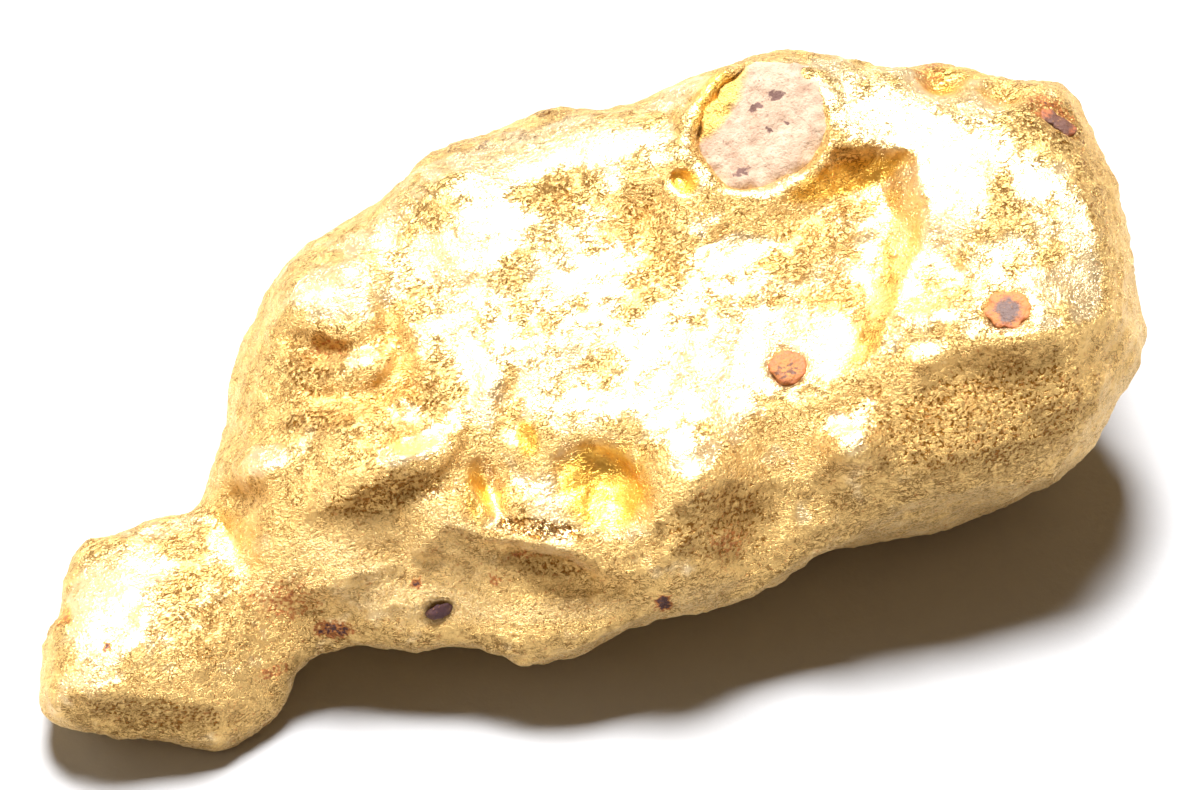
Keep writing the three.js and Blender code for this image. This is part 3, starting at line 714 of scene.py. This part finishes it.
def gold_form():
    """The gold solid's skin, with the forms of the broad face sculpted on it."""
    mesh = node_skin("gold", FORM_CELL, FORM_SMOOTHING)
    points = read_points(mesh)
    sculpted = smoothstep(read_points(mesh, "normal") @ FACE_OUT, *SCULPTED_FACING)
    height = relief(to_face(points)) * sculpted
    write_points(mesh, points + height[:, None] * FACE_OUT)
    return shaped(mesh, SKIN_CELL, SKIN_SMOOTHING)


def gold_hackle_and_shade(points, normals, face, facing):
    """How hackly the gold is, from 0 where it is worn smooth to 1; worn gold is painted paler as a
    highlight and hackly gold darker as shade.
    """
    even, uneven, size = HACKLE_CHANCE
    hackle_and_shade = even + uneven * turbulence(points, size, octaves=3, seed=3) + facing * patches(face, HACKLE_AND_SHADE)
    # painted light: gold that doesn't face up turns darker as shade, gold that faces up paler as a
    # highlight
    hackle_and_shade += DOWNWARD_HACKLE_AND_SHADE * (1 - smoothstep(normals[:, 2], *DOWNWARD_SHADE_UP))
    return np.clip(hackle_and_shade, 0, 1)


def gold_roughness(points, normals, hackle_and_shade):
    """How far lumps, knobs, grain and dents lift the gold's skin."""
    away = 1 - smoothstep(normals @ FACE_OUT, *AWAY_FACING)
    rise, size = LUMPS
    height = rise * turbulence(points, size, octaves=2, seed=1)
    rise, size = SIDE_LUMPS
    height += rise * away * turbulence(points, size, octaves=3, seed=7)
    rise, side_rise, size = KNOBS
    height += (rise + side_rise * away) * np.abs(turbulence(points, size, octaves=2, seed=2))
    rise, size = HACKLE_GRAIN
    height += rise * hackle_and_shade * np.abs(turbulence(points, size, octaves=2, seed=4))
    for middle, radius, depth in DENTS:
        height -= depth * (1 - smoothstep(np.linalg.norm(points - middle, axis=1), 0, radius))
    return height


def gold_finish_and_light(mesh, points, face, facing, hackle_and_shade):
    """What the gold's material reads at each point of its finished mesh, painted light and shade among it.
    """
    normals = read_points(mesh, "normal")
    smooth = shaped(mesh.copy(), None, CAVITY_SMOOTHING)
    cavity_reflection = np.einsum("ij,ij->i", read_points(smooth) - points, normals)
    amount, size, blotches = HIDDEN_RUST
    hidden_rust = smoothstep(turbulence(points, size, octaves=3, seed=8), *blotches)
    rust = facing * patches(face, STAINS) + amount * (1 - facing) * hidden_rust
    # painted reflection of the floor on the broad face's rim
    rim_reflection = 1 - smoothstep(np.abs(normals @ FACE_OUT - RIM_FACING), *RIM_FADE)
    rim_reflection *= 1 - smoothstep(normals @ FACE_UP, *RIM_UP)
    return {
        "hackle_and_shade": hackle_and_shade,
        "cavity_reflection": np.clip(cavity_reflection / CAVITY_DEPTH, -1, 1) + facing * patches(face, HOLLOW_REFLECTIONS),
        "grime_and_shade": np.clip(facing * patches(face, GRIME_AND_SHADE), 0, 1),
        "rust": np.clip(rust, 0, 1),
        "rim_reflection": np.clip(rim_reflection + facing * patches(face, PALE_REFLECTIONS), 0, 1),
    }


def make_gold():
    """Makes the gold, and gives its surface in millimetres."""
    mesh = gold_form()
    points = read_points(mesh)
    normals = read_points(mesh, "normal")
    face = to_face(points)
    facing = smoothstep(normals @ FACE_OUT, *FINISHED_FACING)
    hackle_and_shade = gold_hackle_and_shade(points, normals, face, facing)
    points = points + gold_roughness(points, normals, hackle_and_shade)[:, None] * normals
    points[:, 2] = np.maximum(points[:, 2], 0)
    write_points(mesh, points)
    write_attributes(mesh, gold_finish_and_light(mesh, points, face, facing, hackle_and_shade))
    surface = BVHTree.FromPolygons(points.tolist(), [tuple(polygon.vertices) for polygon in mesh.polygons])
    make_piece("nugget", "gold", mesh, gold_material())
    return surface


# The grains of rock

def level(x, y, z):
    """The plane z = a + b x + c y nearest to some points, as a function of x and y."""
    terms = np.linalg.lstsq(np.column_stack((np.ones(len(x)), x, y)), z, rcond=None)[0]
    return lambda x, y: terms[0] + terms[1] * x + terms[2] * y


def gold_round(surface, x, y, radius):
    """The plane of the gold's surface on a ring round a place on the face."""
    hits = []
    for angle in np.linspace(0, 2 * math.pi, RING_PLACES, endpoint=False):
        start = np.array((x + radius * math.cos(angle), y + radius * math.sin(angle), ABOVE))
        hit = surface.ray_cast(Vector(FACE_AXES @ start + FACE_ORIGIN), Vector(-FACE_OUT))[0]
        if hit:
            hits.append(to_face(np.array(hit)))
    hits = np.array(hits)
    kept = hits[:, 2] > np.median(hits[:, 2]) - RING_DROP
    return level(*hits[kept].T)


def make_grain(node, slot, surface, material, spread, ragged, shift=(0, 0), sunk=0.0, lean=0.0):
    """A grain of rock, spread to fill its socket and laid level with the gold round it."""
    mesh = node_skin(node, GRAIN_CELL, GRAIN_SMOOTHING)
    normals = read_points(mesh, "normal")
    face = to_face(read_points(mesh))
    middle = face.mean(0)
    off = face[:, :2] - middle[:2]
    out = np.hypot(*off.T) + TINY
    way = np.column_stack((off / out[:, None], np.zeros(len(off))))
    off *= spread * (1 + ragged * turbulence(way, RAGGED_SIZE, octaves=2, seed=9))[:, None]
    middle[:2] += shift
    face[:, :2] = middle[:2] + off
    x, y = face[:, 0], face[:, 1]
    top = normals @ FACE_OUT > TOP_FACING
    own = level(x[top], y[top], face[top, 2])
    gold = gold_round(surface, middle[0], middle[1], RING_SPREAD * np.hypot(*off.T).max())
    face[:, 2] += gold(x, y) - own(x, y) - sunk + lean * off[:, 0]
    points = face @ FACE_AXES.T + FACE_ORIGIN
    rise, size = ROCK_LUMPS
    height = rise * turbulence(points, size, octaves=2, seed=5)
    rise, size = ROCK_GRAIN
    height += rise * turbulence(points, size, octaves=3, seed=6)
    write_points(mesh, points + height[:, None] * normals)
    write_attributes(mesh, {
        "heart": 1 - out / out.max(),
        "mark": np.clip(patches(face, MARKS), 0, 1),
        "film": np.clip(patches(face, FILM), 0, 1),
    })
    make_piece(node + "_stone", node, mesh, material)


# Materials

class Look:
    """A material under construction."""

    def __init__(self, name):
        self.material = bpy.data.materials.new(name)
        self.material.use_nodes = True
        self.tree = self.material.node_tree
        self.shader = self.tree.nodes["Principled BSDF"]
        self.place = self.node("ShaderNodeTexCoord").outputs["Object"]

    def node(self, kind, inputs=(), **settings):
        made = self.tree.nodes.new(kind)
        for name, value in settings.items():
            setattr(made, name, value)
        for name, value in dict(inputs).items():
            self.feed(made.inputs[name], value)
        return made

    def feed(self, socket, value):
        if isinstance(value, bpy.types.NodeSocket):
            self.tree.links.new(value, socket)
        else:
            socket.default_value = value

    def finish(self, values):
        """Sets the shader's own sockets."""
        for name, value in values.items():
            self.feed(self.shader.inputs[name], value)

    def drawn_out(self, turn, stretch):
        """Places for detail that is longer along a level direction than across it."""
        inputs = {"Vector": self.place, "Rotation": (0, 0, -turn), "Scale": (1 / stretch, 1, 1)}
        return self.node("ShaderNodeMapping", inputs).outputs["Vector"]

    def noise(self, size, detail, roughness=0.5, distortion=0.0, place=None):
        """Noise from 0 to 1 with lumps of a size in millimetres."""
        inputs = {"Vector": place or self.place, "Scale": 1 / (size * MM), "Detail": detail,
                  "Roughness": roughness, "Distortion": distortion}
        return self.node("ShaderNodeTexNoise", inputs).outputs["Fac"]

    def wrinkles(self, size, width, place):
        """Thin lines, 1 at their middle, that wind about at a size in millimetres."""
        winding = self.noise(size, 2, 0.5, 0.8, place)
        off = self.math("ABSOLUTE", self.math("SUBTRACT", winding, 0.5), 0)
        return self.spread(off, 0, width, 1.0, 0.0)

    def attribute(self, name):
        return self.node("ShaderNodeAttribute", attribute_name=name).outputs["Fac"]

    def math(self, operation, a, b):
        return self.node("ShaderNodeMath", {0: a, 1: b}, operation=operation).outputs[0]

    def spread(self, value, low, high, first=0.0, last=1.0):
        """Maps low to first and high to last, and holds beyond them."""
        inputs = {"Value": value, "From Min": low, "From Max": high, "To Min": first, "To Max": last}
        return self.node("ShaderNodeMapRange", inputs).outputs["Result"]

    def ragged(self, name, noise, reach):
        """An attribute whose edges noise makes ragged, by up to a reach either way."""
        return self.math("ADD", self.attribute(name), self.spread(noise, 0.3, 0.7, -reach, reach))

    def blend(self, share, first, second):
        inputs = {"Fac": share, "Color1": first, "Color2": second}
        return self.node("ShaderNodeMixRGB", inputs).outputs["Color"]

    def marked(self, colour, mark_colour):
        """A rock's colour with its dark marks."""
        mark = self.ragged("mark", self.noise(MARK_SIZE, 3), 0.5)
        return self.blend(self.spread(mark, 0.45, 0.75, 0.0, 0.9), colour, mark_colour)

    def bump(self, height, depth):
        """Relief finer than the mesh, of a depth in millimetres."""
        inputs = {"Height": height, "Distance": depth * MM, "Strength": 1.0}
        self.feed(self.shader.inputs["Normal"], self.node("ShaderNodeBump", inputs).outputs["Normal"])


def gold_crease_shade(look, hackle_and_shade, grime_and_shade, rim_reflection):
    """Painted shade in the wrinkles of hackly gold and in the pits of gold under grime and shade, from 0 to
    1.
    """
    place = look.drawn_out(FACE_TURN, WRINKLE_STRETCH)
    wrinkles = look.math("MAXIMUM", *(look.wrinkles(size, width, place) for size, width in WRINKLES))
    gaps = look.spread(look.noise(GAP_SIZE, 3, 0.6), 0.35, 0.55)
    wrinkles = look.math("MULTIPLY", wrinkles, gaps)
    wrinkles = look.math("MULTIPLY", wrinkles, look.spread(hackle_and_shade, 0, 1, 0.15, 0.9))
    wrinkles = look.math("MULTIPLY", wrinkles, look.spread(rim_reflection, 0, 0.8, 1.0, 0.5))
    wrinkles = look.math("MULTIPLY", wrinkles, look.spread(grime_and_shade, 0.1, 0.7, 1.0, 0.3))
    pits = look.spread(look.noise(PIT_SIZE, 3, 0.6), 0.4, 0.52, 1.0, 0.0)
    pits = look.math("MULTIPLY", pits, look.spread(grime_and_shade, 0.1, 0.7, 0.0, 0.95))
    return look.math("MAXIMUM", pits, wrinkles)


def gold_material():
    look = Look("native_gold")
    hackle_and_shade = look.spread(look.ragged("hackle_and_shade", look.noise(HACKLE_SIZE, 4, 0.6), 0.35), 0.3, 0.75)
    grain = look.noise(GOLD_GRAIN_SIZE, 4, 0.6, 0.3)
    fine = look.noise(RIM_SPECKLE_SIZE, 3, 0.6)
    rim_reflection = look.math("MULTIPLY", look.attribute("rim_reflection"), look.spread(fine, 0.38, 0.62, 0.1, 0.9))
    grime_and_shade = look.spread(look.ragged("grime_and_shade", look.noise(GRIME_AND_SHADE_SIZE, 5, 0.65), 0.45), 0.3, 0.95)
    grime_and_shade = look.math("SUBTRACT", grime_and_shade, rim_reflection)
    dark = gold_crease_shade(look, hackle_and_shade, grime_and_shade, rim_reflection)
    rust = look.ragged("rust", look.noise(RUST_SIZE, 3), 0.45)
    # worn gold painted paler as a highlight, hackly gold darker as shade
    colour = look.blend(hackle_and_shade, GOLD_WORN_AND_HIGHLIGHT, GOLD_RAW)
    # painted reflection: deeper yellow where the gold lies in hollows
    colour = look.blend(look.spread(look.attribute("cavity_reflection"), 0.1, 0.9), colour, GOLD_CAVITY_REFLECTION)
    # grime, and painted shade where the gold turns from the light
    colour = look.blend(look.spread(grime_and_shade, 0, 1, 0.0, 0.5), colour, GOLD_GRIME_AND_SHADE)
    # painted reflection of the floor on the rim, and painted highlights on the pale folds
    colour = look.blend(rim_reflection, colour, GOLD_RIM_REFLECTION)
    # painted shade in the creases and pits
    colour = look.blend(dark, colour, GOLD_CREASE_SHADE)
    colour = look.blend(look.spread(rust, 0.25, 0.6), colour, RUST_PALE)
    colour = look.blend(look.spread(rust, 0.7, 0.95), colour, RUST_DARK)
    roughness = look.spread(hackle_and_shade, 0, 1, *GOLD_ROUGHNESS)
    roughness = look.math("SUBTRACT", roughness, look.spread(grime_and_shade, 0, 1, 0.0, GRIME_AND_SHADE_GLOSS))
    metallic = look.spread(rust, 0.35, 0.9, 1.0, 0.1)
    look.finish({"Base Color": colour, "Metallic": metallic, "Roughness": roughness})
    rise = look.math("MULTIPLY", grain, look.spread(hackle_and_shade, 0, 1, 0.3, 1.0))
    rise = look.math("ADD", rise, look.math("MULTIPLY", fine, rim_reflection))
    look.bump(look.math("SUBTRACT", rise, dark), GOLD_BUMP)
    return look.material


def quartz_material():
    look = Look("quartz_rock")
    mottle = look.noise(QUARTZ_MOTTLE_SIZE, 5, 0.7)
    grain = look.noise(QUARTZ_GRAIN_SIZE, 3, 0.6)
    specks = look.noise(QUARTZ_SPECK_SIZE, 2, 0.4)
    colour = look.blend(look.spread(mottle, 0.35, 0.65), QUARTZ_PINK, QUARTZ_PALE)
    colour = look.blend(look.spread(grain, 0.3, 0.45, 0.6, 0.0), colour, QUARTZ_BROWN)
    colour = look.blend(look.spread(specks, 0.24, 0.29, 0.9, 0.0), colour, QUARTZ_SPECK)
    colour = look.marked(colour, QUARTZ_SPECK)
    film = look.spread(look.ragged("film", mottle, 0.25), 0.3, 0.7)
    colour = look.blend(film, colour, GOLD_FILM)
    roughness = look.spread(film, 0, 1, *QUARTZ_ROUGHNESS)
    look.finish({"Base Color": colour, "Metallic": film, "Roughness": roughness})
    look.bump(look.math("ADD", grain, mottle), QUARTZ_BUMP)
    return look.material


def ironstone_material(name, light, dark, heart_colour):
    look = Look(name)
    mottle = look.noise(IRONSTONE_MOTTLE_SIZE, 4, 0.7)
    grain = look.noise(IRONSTONE_GRAIN_SIZE, 3, 0.6)
    heart = look.ragged("heart", mottle, 0.2)
    colour = look.blend(look.spread(mottle, 0.4, 0.6), light, dark)
    colour = look.blend(look.spread(heart, 0.4, 0.6), colour, heart_colour)
    colour = look.blend(look.spread(grain, 0.3, 0.42, 0.8, 0.0), colour, IRONSTONE_DARK)
    colour = look.blend(look.spread(grain, 0.6, 0.75, 0.0, 0.7), colour, IRONSTONE_OCHRE)
    colour = look.marked(colour, IRONSTONE_DARK)
    look.finish({"Base Color": colour, "Roughness": look.spread(grain, 0.3, 0.7, *IRONSTONE_ROUGHNESS)})
    look.bump(look.math("ADD", grain, mottle), IRONSTONE_BUMP)
    return look.material


def floor_material():
    look = Look("floor")
    fibre = look.noise(FLOOR_FIBRE_SIZE, 5, 0.7)
    look.finish({"Base Color": look.blend(fibre, FLOOR_PALE, FLOOR_SHADE), "Roughness": FLOOR_ROUGHNESS})
    look.bump(fibre, FLOOR_BUMP)
    return look.material


# Studio

def make_camera():
    camera = bpy.data.cameras.new("camera")
    camera.sensor_width = SENSOR
    camera.lens = SENSOR * CAMERA_DISTANCE / VIEW_WIDTH
    camera.clip_start = CAMERA_NEAR
    piece = new_piece("camera", camera)
    back = Vector((
        math.sin(CAMERA_AZIMUTH) * math.cos(CAMERA_ELEVATION),
        -math.cos(CAMERA_AZIMUTH) * math.cos(CAMERA_ELEVATION),
        math.sin(CAMERA_ELEVATION),
    ))
    piece.location = Vector(FACE_ORIGIN * MM) + back * CAMERA_DISTANCE
    piece.rotation_euler = back.to_track_quat("Z", "Y").to_euler()
    bpy.context.scene.camera = piece


def make_light(name, place, size, power, colour):
    """A soft light placed as the camera sees it, aimed at the nugget."""
    right, away, up = place
    c, s = math.cos(CAMERA_AZIMUTH), math.sin(CAMERA_AZIMUTH)
    lamp = bpy.data.lights.new(name, "AREA")
    lamp.shape = "RECTANGLE"
    lamp.size, lamp.size_y = size
    lamp.energy = power
    lamp.color = colour
    piece = new_piece(name, lamp)
    piece.location = (c * right - s * away, s * right + c * away, up)
    piece.rotation_euler = piece.location.to_track_quat("Z", "Y").to_euler()


def make_floor():
    mesh = bpy.data.meshes.new("floor")
    corners = [(x * FLOOR_HALF, y * FLOOR_HALF, 0) for x, y in ((-1, -1), (1, -1), (1, 1), (-1, 1))]
    mesh.from_pydata(corners, [], [(0, 1, 2, 3)])
    mesh.materials.append(floor_material())
    floor = new_piece("floor", mesh)


def make_world():
    world = bpy.data.worlds.new("room")
    world.use_nodes = True
    world.node_tree.nodes["Background"].inputs["Color"].default_value = ROOM_COLOUR
    bpy.context.scene.world = world


surface = make_gold()
make_grain("quartz_pebble", "quartz_rock", surface, quartz_material(), **QUARTZ_FIT)
for node, (colours, fit) in IRONSTONES.items():
    make_grain(node, "ironstone", surface, ironstone_material(node, *colours), **fit)
make_camera()
make_floor()
for name, settings in LIGHTS.items():
    make_light(name, *settings)
make_world()
bpy.context.scene.view_settings.view_transform = "Standard"
